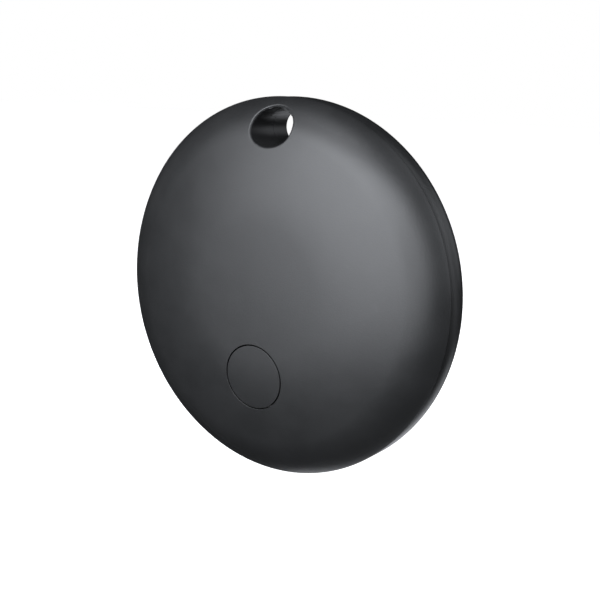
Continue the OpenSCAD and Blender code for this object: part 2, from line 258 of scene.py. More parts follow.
@dataclass
class Skin:
    """Collects grids of points, then welds them into one mesh."""

    points: list[np.ndarray] = field(default_factory=list)
    quads: list[np.ndarray] = field(default_factory=list)
    tris: list[np.ndarray] = field(default_factory=list)
    count: int = 0

    def keep(self, points: np.ndarray) -> int:
        """Stores points (n, 3) and gives the number of the first."""
        first = self.count
        self.points.append(points.reshape(-1, 3))
        self.count += len(self.points[-1])
        return first

    def grid(self, grid: np.ndarray, closed: bool = True) -> None:
        """Adds a grid of quads: point (i, j) joins (i + 1, j) and (i, j + 1).

        Args:
            grid: points (rows, columns, 3).
            closed: whether the last column joins the first.
        """
        rows, columns = grid.shape[:2]
        number = self.keep(grid) + np.arange(rows * columns).reshape(rows, columns)
        if closed:
            number = np.concatenate([number, number[:, :1]], 1)
        corners = (number[:-1, :-1], number[:-1, 1:], number[1:, 1:], number[1:, :-1])
        self.quads.append(np.stack(corners, -1).reshape(-1, 4))

    def fan(self, loop: np.ndarray, tip: np.ndarray) -> None:
        """Closes a loop (n, 3) on one point with n triangles."""
        first = self.keep(loop)
        peak = self.keep(tip)
        here = first + np.arange(len(loop))
        self.tris.append(np.stack([here, np.roll(here, -1), np.full(len(loop), peak)], 1))

    def copy_node(self, node: str, move: Callable[[np.ndarray], np.ndarray]) -> None:
        """Adds a node's own triangles after its points have been moved.

        Args:
            node: name of the node.
            move: takes the points (n, 3) in millimetres and gives them moved.
        """
        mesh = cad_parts[node].data
        mesh.calc_loop_triangles()
        flat = np.empty(len(mesh.vertices) * 3)
        mesh.vertices.foreach_get("co", flat)
        corners = np.empty(len(mesh.loop_triangles) * 3, np.int32)
        mesh.loop_triangles.foreach_get("vertices", corners)
        first = self.keep(move(flat.reshape(-1, 3) / MM))
        self.tris.append(first + corners.reshape(-1, 3).astype(np.int64))

    def mesh(self, name: str, sharp: float = SHARP) -> bpy.types.Mesh:
        """Welds equal points, turns the faces outwards and shades them.

        Points are equal when all three coordinates round to the same tenth of a micrometre.

        Args:
            name: the mesh's name.
            sharp: edges that turn by more than this stay sharp.

        Returns:
            The finished mesh, in metres.
        """
        points = np.concatenate(self.points)
        _, first, to = np.unique(
            np.round(points * 1e4).astype(np.int64), axis=0, return_index=True, return_inverse=True
        )
        to = to.reshape(-1)
        faces: list[list[int]] = []
        for group in (*self.quads, *self.tris):
            new = to[group]
            whole = np.all(new != np.roll(new, 1, axis=1), axis=1)
            faces += new[whole].tolist()
        mesh = bpy.data.meshes.new(name)
        mesh.from_pydata((points[first] * MM).tolist(), [], faces)
        shell = bmesh.new()
        shell.from_mesh(mesh)
        bmesh.ops.recalc_face_normals(shell, faces=shell.faces)
        shell.to_mesh(mesh)
        shell.free()
        mesh.shade_smooth()
        mesh.set_sharp_from_angle(angle=sharp)
        return mesh


def turned(profile: np.ndarray, angles: np.ndarray, z: float = 0.0) -> np.ndarray:
    """Turns a profile about an axis along Y through (0, z).

    Point (i, j) is (r_i cos a_j, y_i, z + r_i sin a_j).

    Args:
        profile: points (n, 2) as radius and y.
        angles: angles (m,) in radians.
        z: height of the axis.

    Returns:
        A grid (n, m, 3).
    """
    r, y = profile[:, :1], profile[:, 1:]
    x = r * np.cos(angles)
    return np.stack([x, np.broadcast_to(y, x.shape), z + r * np.sin(angles)], -1)


def rounded(corners: list[tuple[float, float, float]], steps: int = 6) -> np.ndarray:
    """Rounds the corners of an open profile.

    Each corner is replaced by the arc of its radius that touches both its sides: it starts
    radius * tan(turn / 2) before the corner, and its points turn evenly from one side's
    direction to the other's.

    Args:
        corners: (radius from the axis, y, corner radius) in order.
        steps: segments in each arc.

    Returns:
        The profile (n, 2).
    """
    at = np.array([c[:2] for c in corners])
    out = [at[:1]]
    for before, here, after, size in zip(at, at[1:], at[2:], [c[2] for c in corners[1:]]):
        into = (here - before) / np.linalg.norm(here - before)
        away = (after - here) / np.linalg.norm(after - here)
        turn = math.atan2(into[0] * away[1] - into[1] * away[0], float(into @ away))
        if size <= 0 or abs(turn) < 1e-6:
            out.append(here[None])
            continue
        start = here - into * size * math.tan(abs(turn) / 2)
        inward = np.array([-into[1], into[0]]) * math.copysign(1.0, turn)
        centre = start + inward * size
        a = np.linspace(0, turn, steps + 1)
        arm = start - centre
        out.append(
            centre
            + np.stack([arm[0] * np.cos(a) - arm[1] * np.sin(a),
                        arm[0] * np.sin(a) + arm[1] * np.cos(a)], 1)
        )
    out.append(at[-1:])
    return np.concatenate(out)


def steps_to(count: int, low: float = 0.0, high: float = 1.0) -> np.ndarray:
    """Gives shares from 0 to 1 that crowd at both ends: half of 1 minus a cosine."""
    swing = np.linspace(low, high, count)
    share = (1 - np.cos(math.pi * swing)) / 2
    return (share - share[0]) / (share[-1] - share[0])


def rounded_lip(
    shape: TagShape, side: Side, at: np.ndarray, into: np.ndarray, size: float, steps: int = 8
) -> tuple[np.ndarray, np.ndarray]:
    """Rounds the corner where a face meets an upright wall.

    In the plane of the wall's normal the face is a line of slope t (tan a). The arc of radius s
    that touches line and wall has its centre s from the wall, s * t + s / cos a below the corner;
    it leaves the face at angle a - 90 degrees and meets the wall at -180 degrees.

    Args:
        shape: the tag's sizes.
        side: which face the wall meets.
        at: foot of the wall (n, 2) in (x, z).
        into: unit normals (n, 2) from the wall into the material.
        size: the arc's radius.
        steps: segments in the arc.

    Returns:
        The lip from face to wall (steps + 1, n, 3) and its directions into the material.
    """
    r = np.linalg.norm(at, axis=1)
    depth, slope = shape.face(side, r)
    tilt = np.arctan(slope * np.sum(at * into, 1) / np.maximum(r, 1e-9))
    centre = depth + size * np.tan(tilt) + size / np.cos(tilt)
    share = np.linspace(0, 1, steps + 1)[:, None]
    swing = (tilt - math.pi / 2) * (1 - share) - math.pi * share
    out = size + size * np.cos(swing)
    xz = at + into * out[..., None]
    inward = into * -np.cos(swing)[..., None]
    grid = np.stack([xz[..., 0], side.value * (centre + size * np.sin(swing)), xz[..., 1]], -1)
    normal = np.stack([inward[..., 0], side.value * -np.sin(swing), inward[..., 1]], -1)
    first = np.linalg.norm(grid[0][:, [0, 2]], axis=1)
    grid[0, :, 1] = side.value * shape.face(side, first)[0]
    return grid, normal


def face_patch(
    shape: TagShape, side: Side, start: np.ndarray, end: np.ndarray, rows: int
) -> tuple[np.ndarray, np.ndarray]:
    """Spans a face between two loops.

    Each column runs straight in (x, z) from the start point to the end point, with rows crowded
    at both ends, and every point takes its depth from the face at its radius.

    Args:
        shape: the tag's sizes.
        side: which face.
        start: inner loop (n, 3).
        end: outer loop (n, 3).
        rows: number of rows.

    Returns:
        The grid (rows, n, 3) and its directions into the material.
    """
    share = steps_to(rows)[:, None, None]
    grid = start + (end - start) * share
    grid[-1] = end
    r = np.linalg.norm(grid[..., [0, 2]], axis=-1)
    depth, slope = shape.face(side, r)
    grid[..., 1] = side.value * depth
    away = grid[..., [0, 2]] / np.maximum(r, 1e-9)[..., None]
    size = np.sqrt(1 + slope**2)
    flat = -away * (slope / size)[..., None]
    return grid, np.stack([flat[..., 0], side.value / size, flat[..., 1]], -1)


def profile_inward(profile: np.ndarray, flip: float) -> np.ndarray:
    """Gives unit directions at right angles to a profile (n, 2), on the side that flip picks."""
    along = np.gradient(profile, axis=0)
    along /= np.linalg.norm(along, axis=1)[:, None]
    return np.stack([-along[:, 1], along[:, 0]], 1) * flip


def drop_wall(last: np.ndarray, end_y: np.ndarray, rows: int = 6) -> np.ndarray:
    """Runs a wall along Y from a loop (n, 3) to the depths end_y, without its first row."""
    share = np.linspace(0, 1, rows)[1:, None]
    grid = np.repeat(last[None], rows - 1, 0)
    grid[..., 1] = last[:, 1] * (1 - share) + end_y * share
    return grid


def from_axis(points: np.ndarray, z: float = 0.0) -> tuple[np.ndarray, np.ndarray]:
    """Gives points' distances (n,) from the axis along Y at height z, and their ways (n, 2) out."""
    way = points[:, [0, 2]] - np.array([0.0, z])
    size = np.linalg.norm(way, axis=1)
    return size, way / np.maximum(size, 1e-9)[:, None]


def add_piece(
    name: str, mesh: bpy.types.Mesh, material: bpy.types.Material, body: str, slot: str, *nodes: str
) -> bpy.types.Object:
    """Places a finished mesh in the scene.

    Args:
        name: the piece's name.
        mesh: its mesh, in the frame's axes.
        material: what it is made of.
        body: the body that it rides on.
        slot: name of the record's material slot for it; not used.
        nodes: nodes that it stands for.

    Returns:
        The new object.
    """
    mesh.materials.append(material)
    piece = bpy.data.objects.new(name, mesh)
    bpy.context.scene.collection.objects.link(piece)
    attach(piece, body)
    if nodes:
        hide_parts(*nodes)
    log.info("%s: %d faces on %s", name, len(mesh.polygons), body)
    return piece


# ---------------------------------------------------------------- shader tools


class Graph:
    """Places and joins the nodes of one shader tree."""

    def __init__(self, tree: bpy.types.NodeTree) -> None:
        """Starts on an empty or ready tree."""
        self.tree = tree

    def add(self, kind: str, inputs: dict | None = None, **settings: object) -> bpy.types.Node:
        """Adds a node.

        Args:
            kind: the node's type without its ShaderNode prefix.
            inputs: socket name or number to a constant or to another node's socket.
            settings: the node's own properties.

        Returns:
            The node.
        """
        node = self.tree.nodes.new(f"ShaderNode{kind}")
        for key, value in settings.items():
            setattr(node, key, value)
        self.feed(node, inputs or {})
        return node

    def feed(self, node: bpy.types.Node, inputs: dict) -> None:
        """Sets a node's sockets, by name or number, to constants or to other nodes' sockets."""
        for key, value in inputs.items():
            if isinstance(value, bpy.types.NodeSocket):
                self.tree.links.new(value, node.inputs[key])
            else:
                node.inputs[key].default_value = value

    def place(self) -> bpy.types.NodeSocket:
        """Gives Object coordinates."""
        return self.add("TexCoord").outputs["Object"]

    def noise(
        self, at: object, scale: object, detail: float = 2.0, rough: float = 0.5
    ) -> bpy.types.NodeSocket:
        """Gives fractal noise between 0 and 1 at a place."""
        inputs = {"Vector": at, "Scale": scale, "Detail": detail, "Roughness": rough}
        return self.add("TexNoise", inputs).outputs["Fac"]

    def span(
        self, value: object, low: float, high: float, to_low: float = 0.0, to_high: float = 1.0
    ) -> bpy.types.NodeSocket:
        """Maps low..high to to_low..to_high with smooth ends, and holds beyond them."""
        inputs = {"Value": value, "From Min": low, "From Max": high}
        inputs |= {"To Min": to_low, "To Max": to_high}
        return self.add("MapRange", inputs, interpolation_type="SMOOTHSTEP").outputs["Result"]

    def math(self, way: str, first: object, second: object = 0.0) -> bpy.types.NodeSocket:
        """Gives one sum of two values."""
        return self.add("Math", {0: first, 1: second}, operation=way).outputs[0]

    def mix(self, share: object, first: object, second: object) -> bpy.types.NodeSocket:
        """Mixes two colours by a share."""
        node = self.add("Mix", {0: share, 6: first, 7: second}, data_type="RGBA")
        return node.outputs[2]

    def bump(self, height: object, depth: float) -> bpy.types.NodeSocket:
        """Turns a height between 0 and 1 into a normal, depth metres deep."""
        inputs = {"Height": height, "Distance": depth, "Strength": 1.0}
        return self.add("Bump", inputs).outputs["Normal"]

    def group(self, effect: "Effect", inputs: dict) -> bpy.types.Node:
        """Places a shared effect."""
        node = self.tree.nodes.new("ShaderNodeGroup")
        node.node_tree = effect.tree()
        self.feed(node, inputs)
        return node


@dataclass(frozen=True)
class Effect:
    """A shader node group that several finishes share, made once and then placed by name."""

    name: str
    needs: tuple[tuple[str, str, float], ...]
    gives: tuple[str, ...]
    fill: Callable[[Graph, dict], tuple]

    def tree(self) -> bpy.types.NodeTree:
        """Makes the group the first time and gives it after that."""
        ready = bpy.data.node_groups.get(self.name)
        if ready:
            return ready
        tree = bpy.data.node_groups.new(self.name, "ShaderNodeTree")
        for name, kind, start in self.needs:
            kind_name = f"NodeSocket{kind}"
            socket = tree.interface.new_socket(name, in_out="INPUT", socket_type=kind_name)
            if kind == "Float":
                socket.default_value = start
        for name in self.gives:
            tree.interface.new_socket(name, in_out="OUTPUT", socket_type="NodeSocketFloat")
        entry, leave = tree.nodes.new("NodeGroupInput"), tree.nodes.new("NodeGroupOutput")
        made = self.fill(Graph(tree), {name: entry.outputs[name] for name, _, _ in self.needs})
        for name, socket in zip(self.gives, made):
            tree.links.new(socket, leave.inputs[name])
        return tree


def fill_grain(g: Graph, given: dict) -> tuple:
    """Spark grain: two noises of Fineness and 2.3 times it, 2 to 1, and a slow tone of its own."""
    fine = g.math("MULTIPLY", given["Fineness"], 2.3)
    coarse_part = g.math("MULTIPLY", g.noise(given["Vector"], given["Fineness"], 2.0), 0.66)
    fine_part = g.math("MULTIPLY", g.noise(given["Vector"], fine, 1.0), 0.34)
    slow = g.math("MULTIPLY", given["Fineness"], 0.05)
    tone = g.span(g.noise(given["Vector"], slow, 3.0, 0.6), 0.3, 0.7)
    return g.math("ADD", coarse_part, fine_part), tone


def fill_wear(g: Graph, given: dict) -> tuple:
    """Rubbed edges: convex spots by pointiness, broken up by a noise and scaled by Amount."""
    point = g.add("NewGeometry").outputs["Pointiness"]
    edge = g.span(point, 0.52, 0.62)
    patchy = g.span(g.noise(given["Vector"], given["Scale"], 4.0, 0.7), 0.35, 0.65, 0.3, 1.0)
    return (g.math("MULTIPLY", g.math("MULTIPLY", edge, patchy), given["Amount"]),)


def fill_dust(g: Graph, given: dict) -> tuple:
    """Settled dust: sparse noise specks, thicker where the surface looks up, scaled by Amount."""
    parts = g.add("SeparateXYZ", {0: g.add("NewGeometry").outputs["Normal"]})
    up = g.span(parts.outputs["Z"], -0.4, 1.0, 0.35, 1.0)
    specks = g.span(g.noise(given["Vector"], given["Scale"], 2.0, 0.7), 0.66, 0.78)
    slow = g.math("MULTIPLY", given["Scale"], 0.06)
    film = g.span(g.noise(given["Vector"], slow, 3.0), 0.35, 0.8, 0, 0.25)
    settled = g.math("MULTIPLY", g.math("ADD", specks, film), up)
    return (g.math("MULTIPLY", settled, given["Amount"]),)


def fill_lines(g: Graph, given: dict) -> tuple:
    """Worked metal: noise read along one stretched coordinate, plus a few deeper scratches."""
    fine = g.noise(given["Vector"], given["Fineness"], 3.0, 0.6)
    deep = g.noise(given["Vector"], g.math("MULTIPLY", given["Fineness"], 0.31), 1.0)
    scratch = g.span(deep, 0.62, 0.7)
    return g.math("SUBTRACT", fine, g.math("MULTIPLY", scratch, 0.5)), scratch


VECTOR = ("Vector", "Vector", 0.0)
AMOUNT = ("Amount", "Float", 1.0)
GRAIN = Effect(
    "spark_grain", (VECTOR, ("Fineness", "Float", 5000.0)), ("Height", "Tone"), fill_grain
)
WEAR = Effect("rubbed_edges", (VECTOR, ("Scale", "Float", 2500.0), AMOUNT), ("Mask",), fill_wear)
DUST = Effect("settled_dust", (VECTOR, ("Scale", "Float", 4000.0), AMOUNT), ("Mask",), fill_dust)
LINES = Effect(
    "worked_lines", (VECTOR, ("Fineness", "Float", 4000.0)), ("Height", "Scratch"), fill_lines
)


def open_material(name: str, constants: dict) -> tuple[bpy.types.Material, Graph, bpy.types.Node]:
    """Starts a material.

    Args:
        name: its name.
        constants: values that are the same all over, by the shader's own socket.

    Returns:
        The material, its graph and its Principled shader.
    """
    material = bpy.data.materials.new(name)
    material.use_nodes = True
    graph = Graph(material.node_tree)
    shader = material.node_tree.nodes["Principled BSDF"]
    for key, value in constants.items():
        shader.inputs[key].default_value = value
    return material, graph, shader


def finish_shader(
    g: Graph, shader: bpy.types.Node, body: object, rough: object, height: object, depth: float
) -> None:
    """Joins colour, roughness and a height, depth metres deep, to a Principled shader."""
    g.feed(shader, {"Base Color": body, "Roughness": rough, "Normal": g.bump(height, depth)})


def rgba(colour: Colour, gain: float = 1.0) -> tuple[float, float, float, float]:
    """Scales a colour and adds full alpha."""
    return (colour[0] * gain, colour[1] * gain, colour[2] * gain, 1.0)


# ---------------------------------------------------------------- finishes


@dataclass(frozen=True)
class MouldedPlastic:
    """Plastic from a textured mould: spark grain with painted shade in its hollows, slow mottling, rubbed edges
    and a little dust.
    """

    name: str
    colour: Colour
    roughness: float = 0.38
    swing: float = 0.012
    fineness: float = 5600.0
    depth: float = 9e-6
    wear: float = 0.3
    dust: float = 0.04
    specular: float = 0.5

    def material(self) -> bpy.types.Material:
        """Builds the material."""
        gloss = {"IOR": 1.5, "Specular IOR Level": self.specular}
        made, g, shader = open_material(self.name, gloss)
        at = g.place()
        grain = g.group(GRAIN, {"Vector": at, "Fineness": self.fineness}).outputs
        wear = g.group(WEAR, {"Vector": at, "Amount": self.wear}).outputs["Mask"]
        dust = g.group(DUST, {"Vector": at, "Amount": self.dust}).outputs["Mask"]
        body = g.mix(grain["Tone"], rgba(self.colour, 0.95), rgba(self.colour, 1.05))
        # painted shade: the grain's low spots are darkened towards 0.6 of the colour, following the bump's height
        painted_pit_shade = g.span(grain["Height"], 0.3, 0.52, 0.82, 1.0)
        body = g.mix(painted_pit_shade, rgba(self.colour, 0.6), body)
        body = g.mix(wear, body, rgba(self.colour, 1.7))
        body = g.mix(dust, body, (0.2, 0.195, 0.19, 1.0))
        low, high = self.roughness - self.swing, self.roughness + self.swing
        rough = g.span(grain["Tone"], 0.0, 1.0, low, high)
        rough = g.math("SUBTRACT", rough, g.math("MULTIPLY", wear, 0.1))
        rough = g.math("ADD", rough, g.math("MULTIPLY", dust, 0.3))
        finish_shader(g, shader, body, rough, grain["Height"], self.depth)
        return made


@dataclass(frozen=True)
class WorkedMetal:
    """Bare or plated metal with turned or rolled marks, scratches and a faint tarnish."""

    name: str
    colour: Colour
    weave: Weave = Weave.ROLLED
    roughness: float = 0.28
    fineness: float = 9000.0
    depth: float = 1.2e-6
    tarnish: float = 0.25

    def material(self) -> bpy.types.Material:
        """Builds the material."""
        made, g, shader = open_material(self.name, {"Metallic": 1.0})
        at = g.place()
        parts = g.add("SeparateXYZ", {0: at}).outputs
        if self.weave is Weave.TURNED:
            square = g.math("ADD", *(g.math("MULTIPLY", parts[k], parts[k]) for k in "XZ"))
            along = g.math("MULTIPLY", parts["Y"], 0.2)
            line = g.add("CombineXYZ", {"X": g.math("SQRT", square), "Y": along})
        else:
            drift = g.math("MULTIPLY", parts["X"], 0.02)
            line = g.add("CombineXYZ", {"X": parts["Z"], "Y": drift, "Z": parts["Y"]})
        marks = g.group(LINES, {"Vector": line.outputs[0], "Fineness": self.fineness}).outputs
        stain = g.span(g.noise(at, 380.0, 5.0, 0.65), 0.42, 0.72)
        stain = g.math("MULTIPLY", stain, self.tarnish)
        tone = g.mix(marks["Height"], rgba(self.colour, 0.88), rgba(self.colour, 1.05))
        body = g.mix(stain, tone, rgba(self.colour, 0.55))
        rough = g.span(marks["Height"], 0.2, 0.8, self.roughness - 0.06, self.roughness + 0.08)
        rough = g.math("ADD", rough, g.math("MULTIPLY", stain, 0.35))
        finish_shader(g, shader, body, rough, marks["Height"], self.depth)
        return made


@dataclass(frozen=True)
class BoardLaminate:
    """Printed board: solder mask over slightly proud copper tracks, and a glass weave."""

    name: str
    mask: Colour = (0.012, 0.045, 0.028)
    track: Colour = (0.03, 0.1, 0.06)
    pitch: float = 900.0
    rise: float = 2.5e-5

    def material(self) -> bpy.types.Material:
        """Builds the material: tracks are the thin gaps between large square cells."""
        made, g, shader = open_material(self.name, {"Coat Roughness": 0.15, "IOR": 1.5})
        at = g.place()
        parts = g.add("SeparateXYZ", {0: at}).outputs
        flat = g.add("CombineXYZ", {"X": parts["X"], "Y": parts["Z"]}).outputs[0]
        pattern = {"Vector": flat, "Scale": self.pitch, "Randomness": 0.85}
        cells = g.add("TexVoronoi", pattern, distance="CHEBYCHEV", feature="F1")
        ring = g.math("ABSOLUTE", g.math("SUBTRACT", cells.outputs["Distance"], 0.42))
        tracks = g.span(ring, 0.05, 0.09, 1.0, 0.0)
        holes = g.span(cells.outputs["Distance"], 0.06, 0.1, 1.0, 0.0)
        threads = {"Vector": flat, "Scale": 700.0, "Distortion": 0.4, "Detail": 1.0}
        weave = g.add("TexWave", threads).outputs["Fac"]
        body = g.mix(g.math("MULTIPLY", weave, 0.25), rgba(self.mask), rgba(self.mask, 1.6))
        body = g.mix(tracks, body, rgba(self.track))
        body = g.mix(holes, body, (0.55, 0.42, 0.18, 1.0))
        rough = g.span(g.noise(at, 1500.0, 3.0), 0.3, 0.7, 0.22, 0.36)
        finish_shader(g, shader, body, rough, g.math("SUBTRACT", tracks, holes), self.rise)
        return made


@dataclass(frozen=True)
class SoftFoam:
    """Open foam or rubber: round cells sunk as hollows with painted shade in them, a dusty colour and a dull
    surface.
    """

    name: str
    colour: Colour
    cell: float = 5200.0
    depth: float = 4e-5
    roughness: float = 0.9

    def material(self) -> bpy.types.Material:
        """Builds the material: the cells are the near points of a Voronoi pattern."""
        dull = {"IOR": 1.45, "Specular IOR Level": 0.3, "Sheen Weight": 0.2}
        made, g, shader = open_material(self.name, dull)
        at = g.place()
        cells = g.add("TexVoronoi", {"Vector": at, "Scale": self.cell}).outputs["Distance"]
        cell_hollow_and_shade = g.span(cells, 0.15, 0.55)
        tone = g.span(g.noise(at, self.cell * 0.08, 3.0), 0.3, 0.7)
        # painted shade: the cell hollows are darkened to half the colour; the same mask is the bump's height
        body = g.mix(cell_hollow_and_shade, rgba(self.colour, 0.5), rgba(self.colour))
        body = g.mix(tone, body, rgba(self.colour, 1.2))
        rough = g.span(tone, 0.0, 1.0, self.roughness - 0.08, self.roughness)
        finish_shader(g, shader, body, rough, cell_hollow_and_shade, self.depth)
        return made


@dataclass(frozen=True)
class FiredBody:
    """Fired ceramic or a chip's moulding: fine specks, small pores and a satin surface."""

    name: str
    colour: Colour
    fleck: Colour
    roughness: float = 0.4
    speck: float = 14000.0

    def material(self) -> bpy.types.Material:
        """Builds the material: specks by thresholded noise, pores by the same noise's low end."""
        made, g, shader = open_material(self.name, {"IOR": 1.6})
        at = g.place()
        fine = g.noise(at, self.speck, 2.0, 0.6)
        slow = g.span(g.noise(at, self.speck * 0.04, 4.0), 0.3, 0.7)
        body = g.mix(slow, rgba(self.colour, 0.92), rgba(self.colour, 1.08))
        body = g.mix(g.span(fine, 0.58, 0.7, 0.0, 0.7), body, rgba(self.fleck))
        rough = g.span(fine, 0.3, 0.7, self.roughness - 0.07, self.roughness + 0.07)
        finish_shader(g, shader, body, rough, g.span(fine, 0.28, 0.4), 6e-6)
        return made


def dress(node: str, material: bpy.types.Material) -> None:
    """Gives a node that keeps its own shape a material."""
    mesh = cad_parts[node].data
    mesh.materials.clear()
    mesh.materials.append(material)
    log.info("%s: dressed in %s", node, material.name)


# ---------------------------------------------------------------- sub-assemblies


@dataclass
class HoledShell:
    """What both shells share: the keyring hole, and the thin skin laid over the moulded body."""

    shape: TagShape
    hole_w: float = 4.68
    hole_h: float = 3.72
    hole_inset: float = 3.0
    lip: float = 0.24
    skin: float = 0.02
    sink: float = 0.04
    lip_sink: float = 0.1
    ledge_w: float = 0.7
    near: float = 0.012
    face_near: float = 0.03

    @property
    def hole(self) -> Oval:
        """The keyring hole's outline."""
        return Oval(self.hole_w / 2, self.hole_h / 2, self.shape.disc_r - self.hole_inset)

    def pierced_face(
        self,
        skin: Skin,
        side: Side,
        loop: np.ndarray,
        hole: tuple[np.ndarray, np.ndarray],
        rows: int,
    ) -> tuple[np.ndarray, np.ndarray]:
        """Adds both layers of a face with its hole, and closes them at the hole's far end.

        Args:
            skin: the skin that takes them.
            side: which face it is.
            loop: the face's outer loop (n, 3).
            hole: the hole's rows and their directions into the material, from hole_rows.
            rows: rows of the face between the lip and the loop.

        Returns:
            The face's own rows and their directions into the material.
        """
        wall, wall_in = hole
        face, face_in = face_patch(self.shape, side, wall[-1], loop, rows)
        outer = np.concatenate([wall, face[1:]])
        skin.grid(outer)
        skin.grid(outer + np.concatenate([wall_in, face_in[1:]]) * self.skin)
        skin.grid(np.stack([wall[0], wall[0] + wall_in[0] * self.skin]))
        return face, face_in

    def hole_rows(
        self, side: Side, outline: Oval | Round, loop: np.ndarray, lip: float, end_y: Callable
    ) -> tuple[np.ndarray, np.ndarray]:
        """Builds the rows from a hole's far end up its wall and over its rounded lip.

        Args:
            side: which face the hole opens in.
            outline: the hole's outline.
            loop: outer loop (n, 3) whose directions from the hole's centre place the columns.
            lip: radius of the lip.
            end_y: gives the wall's end depth for the outline's points (n, 2).

        Returns:
            Rows (m, n, 3) from the wall's end to the lip's start on the face, and their
            directions into the material.
        """
        away = loop[:, [0, 2]] - np.array([0.0, outline.z])
        away /= np.linalg.norm(away, axis=1)[:, None]
        at, into = outline.edge(away)
        arc, inward = rounded_lip(self.shape, side, at, into, lip)
        wall = drop_wall(arc[-1], end_y(at))
        rows = np.concatenate([wall[::-1], arc[::-1]])
        side_in = np.stack([into[:, 0], np.zeros(len(into)), into[:, 1]], 1)
        both = np.concatenate([np.repeat(side_in[None], len(wall), 0), inward[::-1]])
        return rows, both

    def sunk_hole(self, points: np.ndarray, side: Side) -> np.ndarray:
        """Moves a body's hole wall back from the hole, further where it meets a face."""
        size, way = from_axis(points, self.hole.z)
        at, into = self.hole.edge(way)
        edge = np.linalg.norm(at - np.array([0.0, self.hole.z]), axis=1)
        on_wall = np.abs(size - edge) < self.near
        r, _ = from_axis(points)
        on_face = np.abs(side.value * points[:, 1] - self.shape.face(side, r)[0]) < self.face_near
        far = np.where(on_wall & on_face, self.lip_sink, self.sink) * on_wall
        out = points.copy()
        out[:, [0, 2]] += into * far[:, None]
        out[:, 1] += side.value * np.where(on_wall & on_face, self.lip_sink - self.sink, 0.0)
        return out


@dataclass
class FrontShell(HoledShell):
    """Domed front shell: face, sharp rim, undercut, keyring tube and button hole."""

    button_z: float = -8.45
    button_hole_r: float = 3.33
    button_seat_y: float = -2.65
    button_lip: float = 0.025
    rim_round: float = 0.03
    cone_sink: float = 0.07
    edge_near: float = 0.01
    tube_end: float = 0.95
    spigot_r: float = 17.04
    step: float = 0.25
    rows: int = 58

    def rim_profile(self) -> np.ndarray:
        """Profile from the face over the sharp edge, down the undercut and in along the ledge."""
        shape = self.shape
        waist_r, waist_y = shape.waist
        start = shape.disc_r - 0.2
        corners = [
            (start, float(shape.front(np.array([start]))[0][0]), 0.0),
            (shape.disc_r, shape.edge_y, self.rim_round),
            (waist_r, waist_y, 0.05),
            (waist_r - self.ledge_w, waist_y, 0.0),
        ]
        profile = rounded(corners)
        face = profile[:, 1] <= shape.edge_y - self.rim_round
        profile[face, 1] = shape.front(profile[face, 0])[0]
        return profile

    def hole_end(self, at: np.ndarray) -> np.ndarray:
        """Depth of the keyring wall's end: the tube's end inside the spigot, else the waist."""
        waist = self.shape.waist[1]
        inside = np.linalg.norm(at, axis=1) < self.spigot_r
        return np.where(inside, waist + self.tube_end, waist)

    def sunk_body(self, points: np.ndarray) -> np.ndarray:
        """Moves the moulded body's outer surfaces under the skin: face, undercut and both holes."""
        shape = self.shape
        out = self.sunk_hole(points, Side.FRONT)
        r, away = from_axis(points)
        depth, slope = shape.front(r)
        on_face = (np.abs(points[:, 1] - depth) < self.face_near) & (points[:, 1] < shape.edge_y + self.edge_near)
        size = np.sqrt(1 + slope**2)
        out[:, 1] += on_face * self.sink / size
        out[:, [0, 2]] -= away * (on_face * self.sink * slope / size)[:, None]
        waist_r, waist_y = shape.waist
        level = np.clip((points[:, 1] - shape.edge_y) / (waist_y - shape.edge_y), 0, 1)
        cone = shape.disc_r + (waist_r - shape.disc_r) * level
        on_cone = np.abs(r - cone) < self.edge_near
        on_cone &= points[:, 1] > shape.edge_y - self.edge_near
        out[:, [0, 2]] -= away * (on_cone * self.cone_sink)[:, None]
        far, way = from_axis(points, self.button_z)
        on_bore = np.abs(far - self.button_hole_r) < self.edge_near
        out[:, [0, 2]] += way * (on_bore * self.sink)[:, None]
        return out

    def build(self) -> bpy.types.Mesh:
        """Builds the skin as two patches, one round each hole, that meet on the level chord.

        Each patch's outer loop is half of the rim and the chord; its columns run from the hole's
        wall over the lip to that loop. The rim's profile is turned on from the same rim points.

        Returns:
            The mesh.
        """
        shape, skin = self.shape, Skin()
        profile = self.rim_profile()
        start_r = profile[0, 0]
        half = int(math.pi * start_r / self.step)
        angles = np.linspace(0, 2 * math.pi, 2 * half + 1)[:-1]
        rim = turned(profile[:1], angles)[0]
        across = np.linspace(-1, 1, int(2 * start_r / self.step) + 1)[1:-1]
        chord = np.stack([across * start_r, 0 * across, 0 * across], 1)
        chord[:, 1] = shape.front(np.abs(chord[:, 0]))[0]
        upper = np.concatenate([rim[: half + 1], chord])
        lower = np.concatenate([rim[half:], rim[:1], chord[::-1]])
        button = Round(self.button_hole_r, self.button_z)
        seat = self.button_seat_y - 0.01
        holes = (
            (upper, self.hole, self.lip, self.hole_end),
            (lower, button, self.button_lip, lambda at: np.full(len(at), seat)),
        )
        for loop, outline, lip, end in holes:
            wall = self.hole_rows(Side.FRONT, outline, loop, lip, end)
            self.pierced_face(skin, Side.FRONT, loop, wall, self.rows)
        inward = profile_inward(profile, 1.0)
        _, slope = shape.front(profile[:1, 0])
        inward[0] = np.array([-slope[0], 1.0]) / math.hypot(slope[0], 1.0)
        outer = turned(profile, angles)
        inner = turned(profile + inward * self.skin, angles)
        _, patch_in = face_patch(shape, Side.FRONT, rim, rim, 2)
        inner[0] = rim + patch_in[-1] * self.skin
        skin.grid(outer)
        skin.grid(inner)
        skin.grid(np.stack([outer[-1], inner[-1]]))
        skin.copy_node("front_shell", self.sunk_body)
        return skin.mesh("front_shell_skin")

    def place(self, finish: MouldedPlastic) -> None:
        """Builds the shell, dresses it and puts it in the scene."""
        mesh, made = self.build(), finish.material()
        add_piece("front_shell_skin", mesh, made, "tag_body", "shell_plastic", "front_shell")


